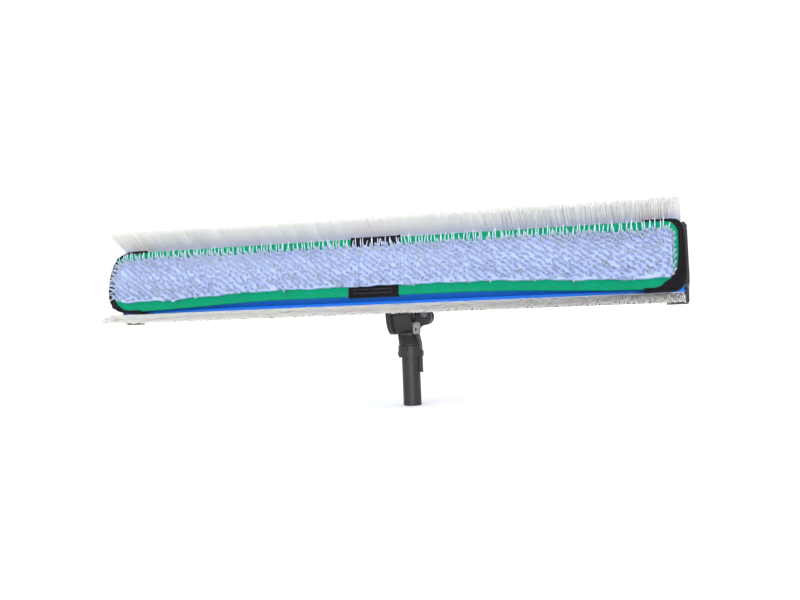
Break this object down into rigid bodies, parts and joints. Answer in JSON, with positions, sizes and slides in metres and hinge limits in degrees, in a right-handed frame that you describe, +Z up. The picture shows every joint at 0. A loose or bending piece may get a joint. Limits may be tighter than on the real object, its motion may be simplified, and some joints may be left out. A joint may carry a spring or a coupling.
{
  "type": "solar panel cleaning brush",
  "caption": "Wide cleaning head with a microfibre pad between splayed bristle rows, on a friction tilt joint with a cam lever and a keyed spigot for a pole.",
  "frame": {"origin": "middle of the spigot's free end, where a pole starts over it", "axes": "+Z up along the spigot to the tilt joint, +X along the brush, +Y away from the washing face at rest"},
  "size_m": [0.788, 0.1284, 0.2569],
  "materials": {
    "blue_coated_aluminium": "satin blue coating",
    "black_nylon": "matt, moulded",
    "black_elastic_fabric": "matt",
    "green_woven_fabric": "matt, woven",
    "pale_blue_microfibre": "deep pile",
    "pale_nylon_bristle": "translucent filament",
    "zinc_plated_steel": "zinc plated",
    "friction_fibre": "pressed fibre"
  },
  "bodies": {
    "spigot": {"knuckle": "black_nylon", "spigot_tube": "black_nylon", "tube_plug": "black_nylon", "rivet": "zinc_plated_steel", "pivot_bolt": "zinc_plated_steel", "cam_pin": "zinc_plated_steel", "thrust_plate": "zinc_plated_steel"},
    "head": {"brush_block": "blue_coated_aluminium", "end_cap_left": "black_nylon", "end_cap_right": "black_nylon", "cap_screw_left_1": "zinc_plated_steel", "cap_screw_left_2": "zinc_plated_steel", "cap_screw_left_3": "zinc_plated_steel", "cap_screw_left_4": "zinc_plated_steel", "cap_screw_right_1": "zinc_plated_steel", "cap_screw_right_2": "zinc_plated_steel", "cap_screw_right_3": "zinc_plated_steel", "cap_screw_right_4": "zinc_plated_steel", "near_strip": "zinc_plated_steel", "far_strip": "zinc_plated_steel", "near_bristles": "pale_nylon_bristle", "far_bristles": "pale_nylon_bristle", "hook_tape_left": "black_elastic_fabric", "hook_tape_right": "black_elastic_fabric", "pad_backing": "green_woven_fabric", "pile_left": "pale_blue_microfibre", "pile_centre": "pale_blue_microfibre", "pile_right": "pale_blue_microfibre", "pocket_left": "black_elastic_fabric", "pocket_right": "black_elastic_fabric", "centre_band": "black_elastic_fabric", "label_patch": "black_elastic_fabric", "bracket": "black_nylon", "bracket_screw_1": "zinc_plated_steel", "bracket_screw_2": "zinc_plated_steel", "bracket_screw_3": "zinc_plated_steel", "bracket_screw_4": "zinc_plated_steel", "friction_disc": "friction_fibre"},
    "lever": {"cam_lever": "black_nylon"}
  },
  "joints": [
    {"name": "head_tilt", "type": "hinge", "parent": "spigot", "child": "head", "pos_m": [0, 0, 0.1248], "axis": [1, 0, 0], "range_deg": [-165, 15]},
    {"name": "lever_swing", "type": "hinge", "parent": "spigot", "child": "lever", "pos_m": [0.0237, 0, 0.1248], "axis": [0, -1, 0], "range_deg": [0, 100]}
  ]
}
